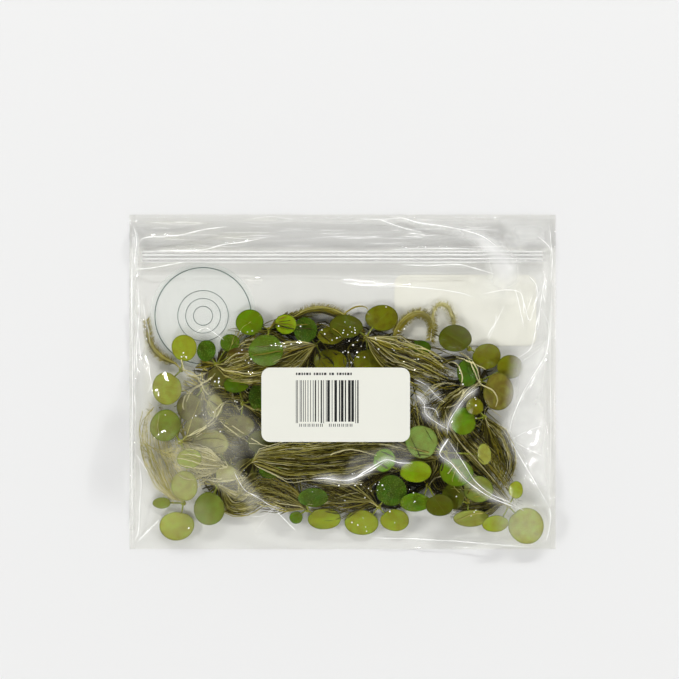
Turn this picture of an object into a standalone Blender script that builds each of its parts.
"""Water spangles packed flat in a clear resealable bag.

The bag lies on its back: +X runs along the zip, +Y from the fold at the bottom to the mouth, and +Z
up from the table. The origin is on the table under the middle of the bag. Lists are in millimetres,
and every mesh is written in metres.
"""

import copy
import math
from dataclasses import dataclass

import bmesh
import bpy
import numpy as np
from mathutils import Vector

MM = 0.001

# The bag, in mm
BAG_WIDTH = 152.7
BAG_HEIGHT = 119.8
FILM = 0.25  # a stand-in for film of about 0.08 mm
SIDE_WELD = 2.15
FOLD = 0.6
GAP = 0.3  # between neighbours that touch
ZIP_LOW = 42.2
ZIP_HIGH = 47.4
ZIP_HEIGHT = 3.0  # inside of the front film over the zip
LIP_HEIGHT = 1.4
MOUTH_HEIGHT = 0.9
TOP_HEIGHTS = (ZIP_HEIGHT, ZIP_HEIGHT, LIP_HEIGHT, MOUTH_HEIGHT)  # at the four highest grid lines
EDGE_LINES = 2  # grid lines on each weld and on the fold
COLUMNS = 21  # of the film between its steep sides
ROWS = 17
FILM_RISE = 2.2  # width of the steep strip beside each weld
FOLD_RISE = 1.4  # and above the fold
PUFF = 0.05  # outward push of the air in the bag, at each round of stretching
STRETCH_ROUNDS = 600

# The closed zip, in mm
TRACK_LENGTH = 143.0
TRACK_WIDTH = 4.0
TRACK_BASE = 0.3
RAIL = 0.6
RAIL_HEIGHT = 0.8
RIB = 1.2

# Labels and sticker, in mm: centre and size
FRONT_LABEL = (-2.4, -7.1, 50.8, 25.4)
BACK_LABEL = (44.0, 25.7, 50.8, 25.4)
STICKER = (-50.0, 23.7)
STICKER_RADIUS = 19.0
PAPER = 0.15
LABEL_CORNER = 3.0
CORNER_STEPS = 4
STICKER_SIDES = 40
LABEL_SHELF = 17.2  # height of the film's inside under the front label
POCKET = PAPER + GAP  # how far the back film rises over what is stuck to it

# The plants, in mm
BLADE = 0.6
HUB_RADIUS = 1.3
HUB_HEIGHT = 1.2
HUB_SIDES = 8
STALK_WIDTH = 0.9
STALK_STEP = 2.6
STALK_LEAST = 0.9  # between the crown's side and the first section of a blade
STEEPEST_LEAF = 0.34
SECTION_ANGLES = (18, 55, 90, 125, 162)  # degrees round a blade from its base, one for each section
BLUNT_TIP = 0.01  # squared share of a blade's width that its narrowest section keeps
STEEPEST_ROOT = 0.6
ROOT_STEP = 4.2
ROOT_CORE = 0.6
ROOT_FLATNESS = 0.34
ROOT_DEEPEST = 2.2
ROOT_SIDES = 6
ROOT_STATIONS = (0, 0.2, 0.6, 1)  # shares of a bundle's length
ROOT_FULLNESS = (0.45, 1, 1, 0.4)  # and of its width there
ROOT_SUPPORTS = (0, 0.25, 0.5, 0.75, 1)  # shares of each stretch at which it raises the pile
SIDE_LIMIT = 71.6
CURVE_STEPS = 12  # of a smooth route, between two of its given points

# The grid that holds the height of the pile, in mm
CELL = 0.5
MARGIN = 0.7


@dataclass(frozen=True)
class Leaf:
    """One floating leaf: its centre, and its size along X and along Y."""

    x: float
    y: float
    wide: float
    tall: float


@dataclass(frozen=True)
class Plant:
    """One plant: its crown, its leaves, the route of its root bundle and how high each lies."""

    crown: tuple
    leaves: tuple
    route: tuple
    root_width: float
    leaf_level: int
    root_level: int


PLANTS = (
    Plant(
        (-57.6, 4.4),
        (Leaf(-56.4, 12.2, 9.1, 9.4), Leaf(-62.3, -2.2, 10.5, 11.6)),
        ((-59.7, 6.7), (-64.6, 9.0), (-68.4, 13.6), (-70.2, 21.3)),
        2.4, 3, 1,
    ),
    Plant(
        (-45.0, 6.2),
        (Leaf(-48.6, 11.2, 6.7, 7.7), Leaf(-40.2, 14.0, 7.0, 6.3), Leaf(-36.9, 10.1, 7.7, 4.6)),
        ((-42.0, 4.6), (-36.0, 5.4), (-28.2, 6.4), (-20.0, 7.4)),
        6.4, 1, 2,
    ),
    Plant(
        (-26.2, 18.8),
        (Leaf(-33.1, 21.3, 10.2, 9.1), Leaf(-20.2, 20.6, 7.7, 7.0), Leaf(-26.8, 11.4, 12.3, 10.9)),
        ((-24.0, 21.6), (-17.7, 23.2), (-11.4, 25.9), (-5.1, 25.9), (2.9, 22.0), (8.9, 14.7)),
        2.8, 3, 1,
    ),
    Plant(
        (-9.6, 13.3),
        (Leaf(-13.2, 18.5, 8.4, 9.1), Leaf(-4.2, 16.6, 9.5, 6.3), Leaf(-4.4, 7.3, 11.9, 9.0)),
        ((-12.6, 12.0), (-20.2, 7.9), (-30.0, 4.8), (-40.4, 3.1)),
        8.0, 1, 2,
    ),
    Plant(
        (8.4, 16.0),
        (Leaf(1.2, 19.8, 11.9, 8.4), Leaf(14.0, 22.9, 11.6, 9.5), Leaf(9.6, 7.3, 11.6, 9.0)),
        ((11.4, 14.0), (18.3, 10.1), (30.6, 5.2), (39.3, 1.0)),
        8.2, 1, 2,
    ),
    Plant(
        (21.8, 11.2),
        (Leaf(17.0, 13.6, 5.2, 6.0), Leaf(27.4, 12.2, 8.4, 5.4), Leaf(20.4, 3.4, 9.8, 9.6)),
        (
            (18.4, 16.6), (20.1, 19.6), (23.9, 23.4), (27.4, 24.5), (30.6, 22.9), (32.0, 19.6),
            (31.5, 15.5),
        ),
        2.2, 0, 1,
    ),
    Plant(
        (45.2, 11.9),
        (Leaf(40.0, 15.6, 11.6, 9.8), Leaf(51.4, 9.2, 10.2, 9.1)),
        (
            (40.6, 14.6), (39.9, 19.0), (39.2, 23.6), (36.9, 27.3), (33.6, 27.3), (32.0, 24.0),
            (32.6, 19.8),
        ),
        1.7, 3, 2,
    ),
    Plant(
        (49.2, 0.4),
        (Leaf(59.6, 5.4, 9.5, 8.4), Leaf(44.4, 3.4, 7.8, 9.6), Leaf(55.4, -3.4, 10.9, 13.2)),
        (
            (45.6, -2.5), (40.4, -8.1), (37.8, -14.5), (41.8, -20.7), (48.1, -27.0),
            (54.0, -33.3), (58.4, -39.0), (62.4, -43.6),
        ),
        7.0, 3, 2,
    ),
    Plant(
        (50.4, -12.4),
        (Leaf(42.5, -13.6, 9.1, 9.8), Leaf(46.6, -8.4, 6.3, 6.0)),
        ((51.4, -15.4), (53.4, -18.2), (56.5, -24.2), (57.5, -31.2), (55.6, -36.5)),
        7.8, 2, 1,
    ),
    Plant(
        (-49.6, -2.4),
        (Leaf(-54.4, -8.8, 9.1, 9.8), Leaf(-45.3, -8.4, 5.6, 8.4), Leaf(-44.4, 1.6, 7.4, 6.6)),
        ((-49.0, -6.0), (-46.8, -11.0), (-43.2, -16.0), (-38.6, -20.4)),
        7.0, 1, 0,
    ),
    Plant(
        (-35.4, -7.6),
        (Leaf(-37.8, -0.8, 8.8, 6.0), Leaf(-28.9, -5.2, 9.1, 10.5), Leaf(-36.6, -15.2, 11.2, 7.4)),
        ((-32.0, -9.6), (-22.0, -12.4), (-9.0, -14.0), (5.0, -12.2), (14.0, -10.4)),
        8.4, 1, 0,
    ),
    Plant(
        (-56.4, -20.4),
        (Leaf(-62.6, -15.2, 10.5, 11.2), Leaf(-53.2, -26.0, 8.4, 7.0), Leaf(-51.0, -15.6, 8.0, 7.4)),
        ((-54.0, -20.2), (-48.2, -18.6), (-42.2, -17.2), (-34.6, -18.6)),
        7.0, 3, 0,
    ),
    Plant(
        (-41.5, -29.1),
        (Leaf(-46.4, -21.2, 13.0, 9.6), Leaf(-34.6, -31.4, 8.6, 8.2)),
        ((-43.8, -28.9), (-50.6, -27.2), (-57.0, -25.4), (-63.0, -25.2)),
        7.0, 1, 2,
    ),
    Plant(
        (-56.6, -43.0),
        (Leaf(-59.2, -51.4, 12.6, 10.2), Leaf(-64.6, -43.2, 6.4, 4.0), Leaf(-54.9, -35.6, 9.1, 10.5)),
        ((-58.6, -40.6), (-62.6, -34.0), (-66.0, -26.0), (-67.4, -17.0), (-67.0, -9.0)),
        6.4, 2, 1,
    ),
    Plant(
        (-44.6, -36.8),
        (Leaf(-47.4, -44.9, 11.2, 11.6), Leaf(-40.6, -31.8, 7.2, 6.4)),
        ((-42.4, -38.8), (-39.6, -43.6), (-34.0, -43.4), (-28.2, -38.9), (-21.0, -36.6)),
        5.4, 3, 1,
    ),
    Plant(
        (-31.8, -27.8),
        (Leaf(-25.6, -31.2, 8.4, 6.4), Leaf(-28.6, -21.0, 9.4, 8.6)),
        ((-29.4, -26.4), (-14.9, -27.2), (2.6, -25.2), (20.1, -23.5)),
        9.2, 1, 2,
    ),
    Plant(
        (-12.6, -45.0),
        (Leaf(-10.4, -40.2, 10.5, 7.0), Leaf(-6.5, -48.8, 11.9, 7.7), Leaf(-16.6, -48.4, 4.8, 4.4)),
        ((-15.2, -43.4), (-20.4, -40.8), (-28.2, -38.2), (-35.0, -38.4)),
        6.4, 3, 2,
    ),
    Plant(
        (12.8, -44.2),
        (Leaf(6.8, -50.2, 12.3, 8.8), Leaf(18.6, -49.2, 10.5, 7.7), Leaf(17.2, -38.2, 10.9, 10.9)),
        ((10.0, -42.0), (2.6, -39.6), (-6.2, -36.8), (-15.9, -34.7)),
        8.6, 3, 1,
    ),
    Plant(
        (19.6, -31.0),
        (Leaf(25.8, -31.4, 11.2, 7.7), Leaf(14.5, -26.8, 7.7, 8.4)),
        ((16.6, -31.2), (8.3, -30.7), (-0.9, -31.5), (-11.4, -31.9)),
        7.4, 2, 1,
    ),
    Plant(
        (30.4, -36.6),
        (Leaf(25.8, -42.4, 11.2, 6.7), Leaf(34.0, -43.0, 9.4, 8.0)),
        ((31.8, -33.6), (33.8, -29.5), (32.7, -23.5), (28.8, -15.5), (25.6, -6.0)),
        7.2, 3, 1,
    ),
    Plant(
        (36.4, -24.8),
        (Leaf(27.6, -20.6, 11.2, 11.2), Leaf(39.9, -31.4, 11.6, 9.5), Leaf(49.6, -25.0, 5.0, 7.2)),
        ((33.4, -25.4), (22.5, -24.4), (12.7, -21.8), (2.9, -22.6), (-6.4, -24.4)),
        6.0, 3, 1,
    ),
    Plant(
        (44.2, -42.4),
        (Leaf(47.6, -37.4, 10.5, 9.5), Leaf(38.8, -40.0, 7.7, 9.1), Leaf(45.4, -48.0, 12.6, 6.3)),
        ((43.0, -39.6), (42.2, -34.6), (46.0, -30.4), (51.2, -31.4)),
        5.0, 2, 0,
    ),
    Plant(
        (58.4, -43.4),
        (Leaf(65.0, -50.8, 12.6, 13.0), Leaf(53.8, -49.6, 9.8, 6.0), Leaf(60.8, -37.6, 5.4, 6.0)),
        ((55.6, -42.6), (50.9, -43.8), (44.6, -44.6), (38.0, -45.8)),
        5.4, 3, 0,
    ),
    Plant(
        (0.6, -6.4),
        (Leaf(-7.4, -3.6, 11.0, 10.4), Leaf(8.2, -2.0, 10.4, 9.6), Leaf(2.0, -14.6, 11.4, 9.8)),
        ((-2.4, -8.4), (-10.0, -8.8), (-18.0, -5.4), (-25.6, -3.0)),
        8.0, 0, 1,
    ),
)


def new_material(name, color, roughness, alpha=1.0):
    """A plain coat in one colour."""
    material = bpy.data.materials.new(name)
    material.use_nodes = True
    shader = material.node_tree.nodes["Principled BSDF"]
    shader.inputs["Base Color"].default_value = (*color, 1.0)
    shader.inputs["Roughness"].default_value = roughness
    shader.inputs["Metallic"].default_value = 0.0
    shader.inputs["Alpha"].default_value = alpha
    return material


def add_object(name, mesh, material):
    """Links a mesh into the scene as one named piece."""
    mesh.materials.append(material)
    piece = bpy.data.objects.new(name, mesh)
    bpy.context.scene.collection.objects.link(piece)
    return piece


def mesh_from_bmesh(name, bm):
    """Turns every face outwards and writes the bmesh as a mesh."""
    bmesh.ops.recalc_face_normals(bm, faces=bm.faces[:])
    mesh = bpy.data.meshes.new(name)
    bm.to_mesh(mesh)
    bm.free()
    return mesh


def place(x, y, z):
    """A point in metres from millimetres."""
    return Vector((x * MM, y * MM, z * MM))


def film_lines():
    """The X and Y positions of the film's grid lines."""
    half_width = BAG_WIDTH / 2
    upright = half_width - SIDE_WELD - FILM_RISE
    inner = np.linspace(-upright, upright, COLUMNS + 1)
    xs = [-half_width, -half_width + SIDE_WELD, *inner, half_width - SIDE_WELD, half_width]
    half_height = BAG_HEIGHT / 2
    fold_top = -half_height + FOLD
    rows = np.linspace(fold_top + FOLD_RISE, ZIP_LOW, ROWS + 1)
    ys = [-half_height, fold_top, *rows, ZIP_HIGH, (ZIP_HIGH + half_height) / 2, half_height]
    return np.array(xs), np.array(ys)


@dataclass(frozen=True)
class Pocket:
    """Where the back film rises over what is stuck under it, as first and last grid lines."""

    left: int
    right: int
    low: int
    high: int

    def holds(self, row, column):
        """Whether the film is raised at this crossing."""
        return self.low <= row <= self.high and self.left <= column <= self.right


def find_pockets(xs, ys):
    """The grid lines that just clear the sticker and the back label."""
    pockets = []
    for x, y, wide, tall in (BACK_LABEL, (*STICKER, 2 * STICKER_RADIUS, 2 * STICKER_RADIUS)):
        pockets.append(
            Pocket(
                int(np.searchsorted(xs, x - wide / 2)) - 1,
                int(np.searchsorted(xs, x + wide / 2)),
                int(np.searchsorted(ys, y - tall / 2)) - 1,
                int(np.searchsorted(ys, y + tall / 2)),
            )
        )
    return pockets


class Pile:
    """The height of all that already lies in the bag, held on a grid of small cells."""

    def __init__(self, xs, ys, pockets):
        self.x, self.y = np.meshgrid(
            np.arange(xs[0], xs[-1], CELL) + CELL / 2, np.arange(ys[0], ys[-1], CELL) + CELL / 2
        )
        self.top = np.full(self.x.shape, FILM)
        for pocket in pockets:
            raised = (
                (self.x > xs[pocket.left - 1]) & (self.x < xs[pocket.right + 1])
                & (self.y > ys[pocket.low - 1]) & (self.y < ys[pocket.high + 1])
            )
            self.top[raised] = FILM + POCKET

    def copy(self):
        """The pile as it is now, to compare with later."""
        return copy.deepcopy(self)

    def disc(self, x, y, radius):
        """Cells within a radius of a point."""
        return (self.x - x) ** 2 + (self.y - y) ** 2 < radius**2

    def highest(self, x, y, radius):
        """Top of the pile within a radius of a point."""
        return float(self.top[self.disc(x, y, radius)].max())

    def ellipse(self, leaf, margin):
        """Cells under a leaf, with a margin round it."""
        across = (self.x - leaf.x) / (leaf.wide / 2 + margin)
        along = (self.y - leaf.y) / (leaf.tall / 2 + margin)
        return across**2 + along**2 < 1

    def raise_to(self, cells, height):
        """Covers cells up to a height, one number or one for each cell."""
        self.top[cells] = np.maximum(self.top[cells], height)


@dataclass
class Plane:
    """The middle plane of a leaf: its height at the leaf's centre and its two slopes."""

    leaf: Leaf
    height: float
    slope_x: float
    slope_y: float

    def at(self, x, y):
        """Height at one point, or at an array of points."""
        return self.height + self.slope_x * (x - self.leaf.x) + self.slope_y * (y - self.leaf.y)


def rest_leaf(pile, leaf):
    """Lays a leaf on the pile: tilted as what lies under it, and clear of its highest point."""
    cells = pile.ellipse(leaf, MARGIN)
    x = pile.x[cells] - leaf.x
    y = pile.y[cells] - leaf.y
    terms = np.stack([np.ones_like(x), x, y], axis=1)
    _, slope_x, slope_y = np.linalg.lstsq(terms, pile.top[cells], rcond=None)[0]
    steepness = math.hypot(slope_x, slope_y)
    if steepness > STEEPEST_LEAF:
        slope_x *= STEEPEST_LEAF / steepness
        slope_y *= STEEPEST_LEAF / steepness
    lift = float((pile.top[cells] - slope_x * x - slope_y * y).max())
    return Plane(leaf, lift + GAP + BLADE / 2, slope_x, slope_y)


def leaf_sections(crown, plane):
    """Left and right edge of a leaf at a few stations from its stalk to its tip."""
    leaf = plane.leaf
    axis = np.array([leaf.x - crown[0], leaf.y - crown[1]])
    reach = float(np.linalg.norm(axis))
    axis /= reach
    side = np.array([-axis[1], axis[0]])
    inverse = np.array([(2 / leaf.wide) ** 2, (2 / leaf.tall) ** 2])
    a = float((inverse * axis**2).sum())
    b = float((inverse * axis * side).sum())
    c = float((inverse * side**2).sum())
    farthest = math.sqrt(c / (a * c - b * b))
    nearest = min(farthest, reach - HUB_RADIUS - STALK_LEAST)
    sections = []
    for degrees in SECTION_ANGLES:
        along = -math.cos(math.radians(degrees))
        along *= nearest if along < 0 else farthest
        spread = math.sqrt(max(b * b * along**2 - c * (a * along**2 - 1), BLUNT_TIP * c)) / c
        middle = -b * along / c
        centre = np.array([leaf.x, leaf.y]) + along * axis
        sections.append((centre + (middle - spread) * side, centre + (middle + spread) * side))
    return sections


def extrude_to(bm, face, corners):
    """Extrudes a four-sided face and puts its corners where the list says."""
    grown = bmesh.ops.extrude_discrete_faces(bm, faces=[face])["faces"][0]
    for vert, corner in zip(grown.verts, corners):
        vert.co = corner
    return grown


def side_face(bm, used, direction):
    """The hub's free side face that looks most nearly along a direction."""
    sides = [face for face in bm.faces if abs(face.normal.z) < 0.5 and face not in used]
    return max(sides, key=lambda face: face.normal.dot(direction))


def stalk_ribs(pile, plant, plane, hub_height, first):
    """Cross-sections of the stalk between the crown and the first section of the blade."""
    crown = np.array(plant.crown)
    end = (first[0] + first[1]) / 2
    run = end - crown
    length = float(np.linalg.norm(run))
    axis = run / length
    side = np.array([-axis[1], axis[0]])
    end_height = plane.at(*end)
    ribs = []
    steps = int((length - HUB_RADIUS) / STALK_STEP)
    for step in range(1, steps + 1):
        share = step / (steps + 1)
        centre = crown + axis * (HUB_RADIUS + share * (length - HUB_RADIUS))
        clear = pile.highest(*centre, STALK_STEP / 2 + MARGIN) + GAP + BLADE / 2
        height = max(hub_height + share * (end_height - hub_height), clear)
        ribs.append(
            tuple((*(centre + turn * side * STALK_WIDTH / 2), height) for turn in (-1, 1))
        )
    return ribs


def leaf_ribs(pile, plant, plane, hub_height):
    """Left and right edge, with their heights, from the crown to the tip of one leaf."""
    sections = leaf_sections(plant.crown, plane)
    blade = [tuple((*point, plane.at(*point)) for point in section) for section in sections]
    return stalk_ribs(pile, plant, plane, hub_height, sections[0]) + blade


def cover_with_leaf(pile, plane):
    """Raises the pile by one leaf that rests on it."""
    cells = pile.ellipse(plane.leaf, MARGIN / 2)
    pile.raise_to(cells, plane.at(pile.x[cells], pile.y[cells]) + BLADE / 2)


def new_crown(bm, x, y, height):
    """A short eight-sided prism that the leaves grow from."""
    rim = bmesh.ops.create_circle(
        bm, cap_ends=True, segments=HUB_SIDES, radius=HUB_RADIUS * MM
    )["verts"]
    grown = bmesh.ops.extrude_face_region(bm, geom=bm.faces[:])["geom"]
    top = [item for item in grown if isinstance(item, bmesh.types.BMVert)]
    bmesh.ops.translate(bm, verts=rim, vec=place(x, y, height - HUB_HEIGHT / 2))
    bmesh.ops.translate(bm, verts=top, vec=place(x, y, height + HUB_HEIGHT / 2))
    bmesh.ops.recalc_face_normals(bm, faces=bm.faces[:])


def grow_leaf(bm, face, direction, ribs):
    """Extrudes a side face of the crown along the ribs of one leaf."""
    across = Vector((-direction.y, direction.x, 0.0))
    middle = face.calc_center_median()
    order = [(int((vert.co - middle).dot(across) > 0), vert.co.z > middle.z) for vert in face.verts]
    for rib in ribs:
        corners = []
        for side, is_high in order:
            x, y, height = rib[side]
            corners.append(place(x, y, height + (BLADE / 2 if is_high else -BLADE / 2)))
        face = extrude_to(bm, face, corners)


def build_leaves(name, plant, pile, material):
    """One plant's leaves, grown from its crown, as they rest on the pile."""
    x, y = plant.crown
    before = pile.copy()
    hub_height = before.highest(x, y, HUB_RADIUS + MARGIN) + GAP + HUB_HEIGHT / 2
    planes = []
    for leaf in plant.leaves:
        plane = rest_leaf(pile, leaf)
        cover_with_leaf(pile, plane)
        planes.append(plane)

    bm = bmesh.new()
    new_crown(bm, x, y, hub_height)
    used = []
    grown = []
    for plane in planes:
        direction = Vector((plane.leaf.x - x, plane.leaf.y - y, 0.0)).normalized()
        face = side_face(bm, used, direction)
        used.append(face)
        grown.append((face, direction, leaf_ribs(before, plant, plane, hub_height)))
    for face, direction, ribs in grown:
        grow_leaf(bm, face, direction, ribs)
        for left, right in ribs:
            middle = [(a + b) / 2 for a, b in zip(left, right)]
            near = pile.disc(middle[0], middle[1], STALK_STEP / 2 + MARGIN / 2)
            pile.raise_to(near, middle[2] + BLADE / 2)
    pile.raise_to(pile.disc(x, y, HUB_RADIUS + MARGIN / 2), hub_height + HUB_HEIGHT / 2)
    return add_object(name, mesh_from_bmesh(name, bm), material)


def smooth_route(points, step):
    """Evenly spaced points on a smooth curve through the points given."""
    ends = [2 * np.array(points[0]) - points[1], 2 * np.array(points[-1]) - points[-2]]
    knots = [ends[0], *(np.array(point, float) for point in points), ends[1]]
    fine = []
    for before, start, end, after in zip(knots, knots[1:], knots[2:], knots[3:]):
        for share in np.linspace(0, 1, CURVE_STEPS, endpoint=False):
            bend = (end - before) * share + (2 * before - 5 * start + 4 * end - after) * share**2
            fine.append(start + (bend + (3 * start - before - 3 * end + after) * share**3) / 2)
    fine.append(knots[-2])
    fine = np.array(fine)
    run = np.concatenate([[0], np.cumsum(np.linalg.norm(np.diff(fine, axis=0), axis=1))])
    count = max(4, round(run[-1] / step))
    wanted = np.linspace(0, run[-1], count + 1)
    return np.stack([np.interp(wanted, run, fine[:, axis]) for axis in range(2)], axis=1)


def root_sizes(plant, count):
    """Width and depth of a root bundle at each of its stations: narrow, full, then thin tips."""
    shares = np.linspace(0, 1, count)
    widths = plant.root_width * np.interp(shares, ROOT_STATIONS, ROOT_FULLNESS)
    return widths, np.minimum(ROOT_CORE + ROOT_FLATNESS * widths, ROOT_DEEPEST)


def rest_roots(pile, points, widths, depths):
    """Height of a root bundle's middle at each station, clear of the pile and without steps."""
    heights = np.array([
        pile.highest(*point, width / 2 + ROOT_STEP / 2 + MARGIN / 2) + GAP + depth / 2
        for point, width, depth in zip(points, widths, depths)
    ])
    run = STEEPEST_ROOT * float(np.linalg.norm(points[1] - points[0]))
    for _ in heights:
        heights[1:] = np.maximum(heights[1:], heights[:-1] - run)
        heights[:-1] = np.maximum(heights[:-1], heights[1:] - run)
    return heights


def bridge_rings(bm, rings):
    """Closes a row of rings with the same number of points into a capped tube."""
    for first, second in zip(rings, rings[1:]):
        count = len(first)
        for index in range(count):
            after = (index + 1) % count
            bm.faces.new((first[index], first[after], second[after], second[index]))
    bm.faces.new(rings[0])
    bm.faces.new(reversed(rings[-1]))


def build_roots(name, plant, pile, material):
    """One plant's bundle of root strands, as one flattened body draped over the pile."""
    points = smooth_route(plant.route, ROOT_STEP)
    widths, depths = root_sizes(plant, len(points))
    limit = SIDE_LIMIT - widths / 2
    points[:, 0] = np.clip(points[:, 0], -limit, limit)
    heights = rest_roots(pile, points, widths, depths)
    along = np.gradient(points, axis=0)
    along /= np.linalg.norm(along, axis=1)[:, None]
    bm = bmesh.new()
    rings = []
    for point, tangent, width, depth, height in zip(points, along, widths, depths, heights):
        side = np.array([-tangent[1], tangent[0]])
        ring = []
        for corner in range(ROOT_SIDES):
            angle = 2 * math.pi * corner / ROOT_SIDES
            x, y = point + side * width / 2 * math.cos(angle)
            ring.append(bm.verts.new(place(x, y, height + depth / 2 * math.sin(angle))))
        rings.append(ring)
    bridge_rings(bm, rings)
    ends = zip(points, points[1:], widths, heights, heights[1:], depths)
    for start, end, width, low, high, depth in ends:
        for share in ROOT_SUPPORTS:
            x, y = start + share * (end - start)
            cells = pile.disc(x, y, width / 2 + MARGIN / 2)
            pile.raise_to(cells, low + share * (high - low) + depth / 2)
    return add_object(name, mesh_from_bmesh(name, bm), material)


def rest_film(pile, xs, ys):
    """Height of the inside of the front film at each grid crossing, stretched over the pile."""
    columns, rows = len(xs), len(ys)
    least = np.full((rows, columns), FILM)
    for row in range(EDGE_LINES, rows - len(TOP_HEIGHTS) + 1):
        for column in range(EDGE_LINES, columns - EDGE_LINES):
            near = (
                (pile.x > xs[column - 1]) & (pile.x < xs[column + 1])
                & (pile.y > ys[row - 1]) & (pile.y < ys[row + 1])
            )
            least[row, column] = pile.top[near].max() + GAP
    x, y, wide, tall = FRONT_LABEL
    under = (
        (xs > x - wide / 2 - np.diff(xs).max()) & (xs < x + wide / 2 + np.diff(xs).max())
    )
    beside = (
        (ys > y - tall / 2 - np.diff(ys).max()) & (ys < y + tall / 2 + np.diff(ys).max())
    )
    least[np.ix_(beside, under)] = LABEL_SHELF
    fixed = np.zeros((rows, columns), bool)
    fixed[np.ix_(beside, under)] = True
    height = least.copy()
    fixed[:EDGE_LINES] = fixed[:, :EDGE_LINES] = fixed[:, -EDGE_LINES:] = True
    for row, value in zip(range(-len(TOP_HEIGHTS), 0), TOP_HEIGHTS):
        height[row, EDGE_LINES:-EDGE_LINES] = value
        fixed[row] = True
    free = ~fixed[1:-1, 1:-1]
    left, right = 1 / np.diff(xs)[None, :-1], 1 / np.diff(xs)[None, 1:]
    low, high = 1 / np.diff(ys)[:-1, None], 1 / np.diff(ys)[1:, None]
    total = left + right + low + high
    for _ in range(STRETCH_ROUNDS):
        pulled = (
            left * height[1:-1, :-2] + right * height[1:-1, 2:]
            + low * height[:-2, 1:-1] + high * height[2:, 1:-1]
        ) / total + PUFF
        middle = height[1:-1, 1:-1]
        middle[free] = np.maximum(pulled, least[1:-1, 1:-1])[free]
    return height


class Pouch:
    """The film's mesh: two outer and two inner sheets, joined at the rim of the mouth."""

    def __init__(self, xs, ys, height, pockets):
        self.xs, self.ys, self.height, self.pockets = xs, ys, height, pockets
        self.last_column, self.last_row = len(xs) - 1, len(ys) - 1
        self.bm = bmesh.new()
        self.verts = {}

    def at_weld(self, row, column):
        """Whether the inner sheets meet at this crossing."""
        return row == 1 or column in (1, self.last_column - 1)

    def vert(self, sheet, row, column):
        """The vertex of one sheet at one grid crossing."""
        if sheet.endswith("inside") and self.at_weld(row, column):
            sheet = "weld"
        key = (sheet, row, column)
        if key not in self.verts:
            lift = POCKET if any(pocket.holds(row, column) for pocket in self.pockets) else 0.0
            heights = {
                "weld": FILM,
                "front_inside": self.height[row, column],
                "front_outside": self.height[row, column] + FILM,
                "back_inside": FILM + lift,
                "back_outside": lift,
            }
            point = place(self.xs[column], self.ys[row], heights[sheet])
            self.verts[key] = self.bm.verts.new(point)
        return self.verts[key]

    def face(self, *corners):
        """One face through vertices given as sheet, row and column."""
        self.bm.faces.new([self.vert(*corner) for corner in corners])

    def front_sheet(self, sheet, first_row, first_column):
        """A front sheet, in triangles that split every square the same way."""
        for row in range(first_row, self.last_row):
            for column in range(first_column, self.last_column - first_column):
                corner = (sheet, row, column)
                across = (sheet, row + 1, column + 1)
                self.face(corner, (sheet, row, column + 1), across)
                self.face(corner, across, (sheet, row + 1, column))

    def back_sheet(self, sheet, first_row, first_column):
        """A back sheet, in a few large flat faces whose outer edges hold every grid line."""
        rows = self.coarse_rows(first_row)
        columns = self.coarse_columns(first_column)
        for low, high in zip(rows, rows[1:]):
            for left, right in zip(columns, columns[1:]):
                bottom = range(left, right) if low == rows[0] else (left,)
                top = range(right, left, -1) if high == rows[-1] else (right,)
                east = range(low, high) if right == columns[-1] else (low,)
                west = range(high, low, -1) if left == columns[0] else (high,)
                self.face(
                    *((sheet, low, column) for column in bottom),
                    *((sheet, row, right) for row in east),
                    *((sheet, high, column) for column in top),
                    *((sheet, row, left) for row in west),
                )

    def coarse_columns(self, first):
        """The columns that the back sheets keep: the edges, and those beside the pockets."""
        kept = {first, self.last_column - first}
        for pocket in self.pockets:
            kept |= {pocket.left - 1, pocket.left, pocket.right, pocket.right + 1}
        return sorted(column for column in kept if first <= column <= self.last_column - first)

    def coarse_rows(self, first):
        """The rows that the back sheets keep."""
        kept = {first, self.last_row}
        for pocket in self.pockets:
            kept |= {pocket.low - 1, pocket.low, pocket.high, pocket.high + 1}
        return sorted(row for row in kept if first <= row <= self.last_row)

    def rims(self):
        """The welded sides and the fold, then the rim of the mouth."""
        outside = ("front_outside", "back_outside")
        low, right, top = 0, self.last_column, self.last_row
        for row in range(top):
            for column in (0, right):
                self.face(
                    (outside[0], row, column), (outside[0], row + 1, column),
                    (outside[1], row + 1, column), (outside[1], row, column),
                )
        for column in range(right):
            self.face(
                (outside[0], low, column), (outside[0], low, column + 1),
                (outside[1], low, column + 1), (outside[1], low, column),
            )
        for outer, inner in zip(outside, ("front_inside", "back_inside")):
            for column in range(1, right - 1):
                self.face(
                    (outer, top, column), (outer, top, column + 1),
                    (inner, top, column + 1), (inner, top, column),
                )
        for end, beside in ((0, 1), (right, right - 1)):
            inner = ("front_inside", top, beside)
            self.face((outside[0], top, end), (outside[0], top, beside), inner)
            self.face((outside[0], top, end), inner, (outside[1], top, end))
            self.face((outside[1], top, end), inner, (outside[1], top, beside))


def build_film(pile, xs, ys, pockets, material):
    """The bag: one film that is folded at the bottom and welded up its two sides."""
    pouch = Pouch(xs, ys, rest_film(pile, xs, ys), pockets)
    pouch.front_sheet("front_outside", 0, 0)
    pouch.front_sheet("front_inside", 1, 1)
    pouch.back_sheet("back_outside", 0, 0)
    pouch.back_sheet("back_inside", 1, 1)
    pouch.rims()
    return add_object("bag_film", mesh_from_bmesh("bag_film", pouch.bm), material)


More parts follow.
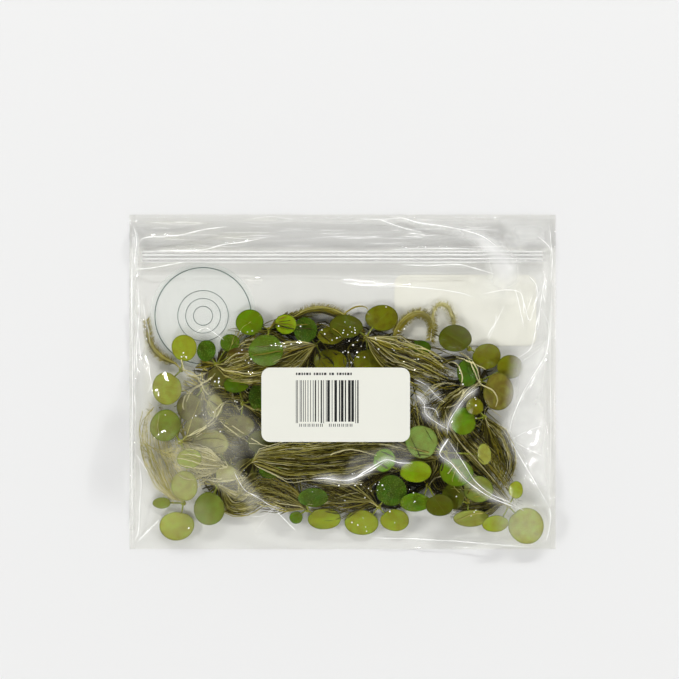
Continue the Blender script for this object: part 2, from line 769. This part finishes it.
def build_track(name, profile, material):
    """One half of the zip: a profile in Y and Z, extruded along the bag's width."""
    bm = bmesh.new()
    start = [bm.verts.new(place(-TRACK_LENGTH / 2, y, z)) for y, z in profile]
    cap = bm.faces.new(start)
    grown = bmesh.ops.extrude_face_region(bm, geom=[cap])["geom"]
    end = [item for item in grown if isinstance(item, bmesh.types.BMVert)]
    bmesh.ops.translate(bm, verts=end, vec=place(TRACK_LENGTH, 0, 0))
    return add_object(name, mesh_from_bmesh(name, bm), material)


def build_zip(material):
    """Two rails on the back track and, between them, the rib of the front track."""
    middle = (ZIP_LOW + ZIP_HIGH) / 2
    half = TRACK_WIDTH / 2
    base = FILM + POCKET + GAP
    deck = base + TRACK_BASE
    rails = deck + RAIL_HEIGHT
    build_track(
        "zip_track_back",
        (
            (middle - half, base), (middle + half, base), (middle + half, rails),
            (middle + half - RAIL, rails), (middle + half - RAIL, deck),
            (middle - half + RAIL, deck), (middle - half + RAIL, rails), (middle - half, rails),
        ),
        material,
    )
    roof = ZIP_HEIGHT - GAP
    ceiling = roof - TRACK_BASE
    tip = deck + GAP
    build_track(
        "zip_track_front",
        (
            (middle - half, roof), (middle - half, ceiling), (middle - RIB / 2, ceiling),
            (middle - RIB / 2, tip), (middle + RIB / 2, tip), (middle + RIB / 2, ceiling),
            (middle + half, ceiling), (middle + half, roof),
        ),
        material,
    )


def build_sheet(name, outline, low, material):
    """A thin flat sheet of label stock, from its outline."""
    bm = bmesh.new()
    cap = bm.faces.new([bm.verts.new(place(x, y, low)) for x, y in outline])
    grown = bmesh.ops.extrude_face_region(bm, geom=[cap])["geom"]
    raised = [item for item in grown if isinstance(item, bmesh.types.BMVert)]
    bmesh.ops.translate(bm, verts=raised, vec=place(0, 0, PAPER))
    return add_object(name, mesh_from_bmesh(name, bm), material)


def rounded_outline(label, corner_radius):
    """A rectangle with round corners, as a list of points."""
    x, y, wide, tall = label
    points = []
    for quarter, (turn_x, turn_y) in enumerate(((1, 1), (-1, 1), (-1, -1), (1, -1))):
        for step in range(CORNER_STEPS + 1):
            angle = math.pi / 2 * (quarter + step / CORNER_STEPS)
            points.append((
                x + turn_x * (wide / 2 - corner_radius) + corner_radius * math.cos(angle),
                y + turn_y * (tall / 2 - corner_radius) + corner_radius * math.sin(angle),
            ))
    return points


def circle_outline(centre, radius):
    """A circle as a list of points."""
    turns = [2 * math.pi * index / STICKER_SIDES for index in range(STICKER_SIDES)]
    return [
        (centre[0] + radius * math.cos(turn), centre[1] + radius * math.sin(turn))
        for turn in turns
    ]


def build_labels(paper, clear):
    """The front label on the film, and the sticker and label under the back film."""
    front = rounded_outline(FRONT_LABEL, LABEL_CORNER)
    build_sheet("front_label", front, LABEL_SHELF + FILM + GAP, paper)
    build_sheet("back_label", rounded_outline(BACK_LABEL, LABEL_CORNER), 0.0, paper)
    build_sheet("round_sticker", circle_outline(STICKER, STICKER_RADIUS), 0.0, clear)


def clear_scene():
    """Removes whatever the file holds at the start."""
    for item in list(bpy.data.objects):
        bpy.data.objects.remove(item, do_unlink=True)


def main():
    """Lays the plants in the bag from the lowest to the highest, then stretches the film."""
    clear_scene()
    leaf_green = new_material("leaf_green", (0.16, 0.30, 0.03), 0.35)
    root_brown = new_material("root_brown", (0.22, 0.18, 0.05), 0.6)
    film_clear = new_material("film_clear", (0.92, 0.93, 0.92), 0.1, 0.25)
    paper_white = new_material("paper_white", (0.86, 0.86, 0.82), 0.6)
    sticker_clear = new_material("sticker_clear", (0.62, 0.78, 0.74), 0.3, 0.6)

    xs, ys = film_lines()
    pockets = find_pockets(xs, ys)
    pile = Pile(xs, ys, pockets)
    pieces = []
    for number, plant in enumerate(PLANTS, start=1):
        pieces.append((plant.leaf_level, number, f"plant_{number:02d}_leaves", build_leaves))
        pieces.append((plant.root_level, number, f"plant_{number:02d}_roots", build_roots))
    for _, number, name, build in sorted(pieces, key=lambda piece: piece[:3]):
        material = leaf_green if build is build_leaves else root_brown
        build(name, PLANTS[number - 1], pile, material)
    build_film(pile, xs, ys, pockets, film_clear)
    build_zip(film_clear)
    build_labels(paper_white, sticker_clear)


main()
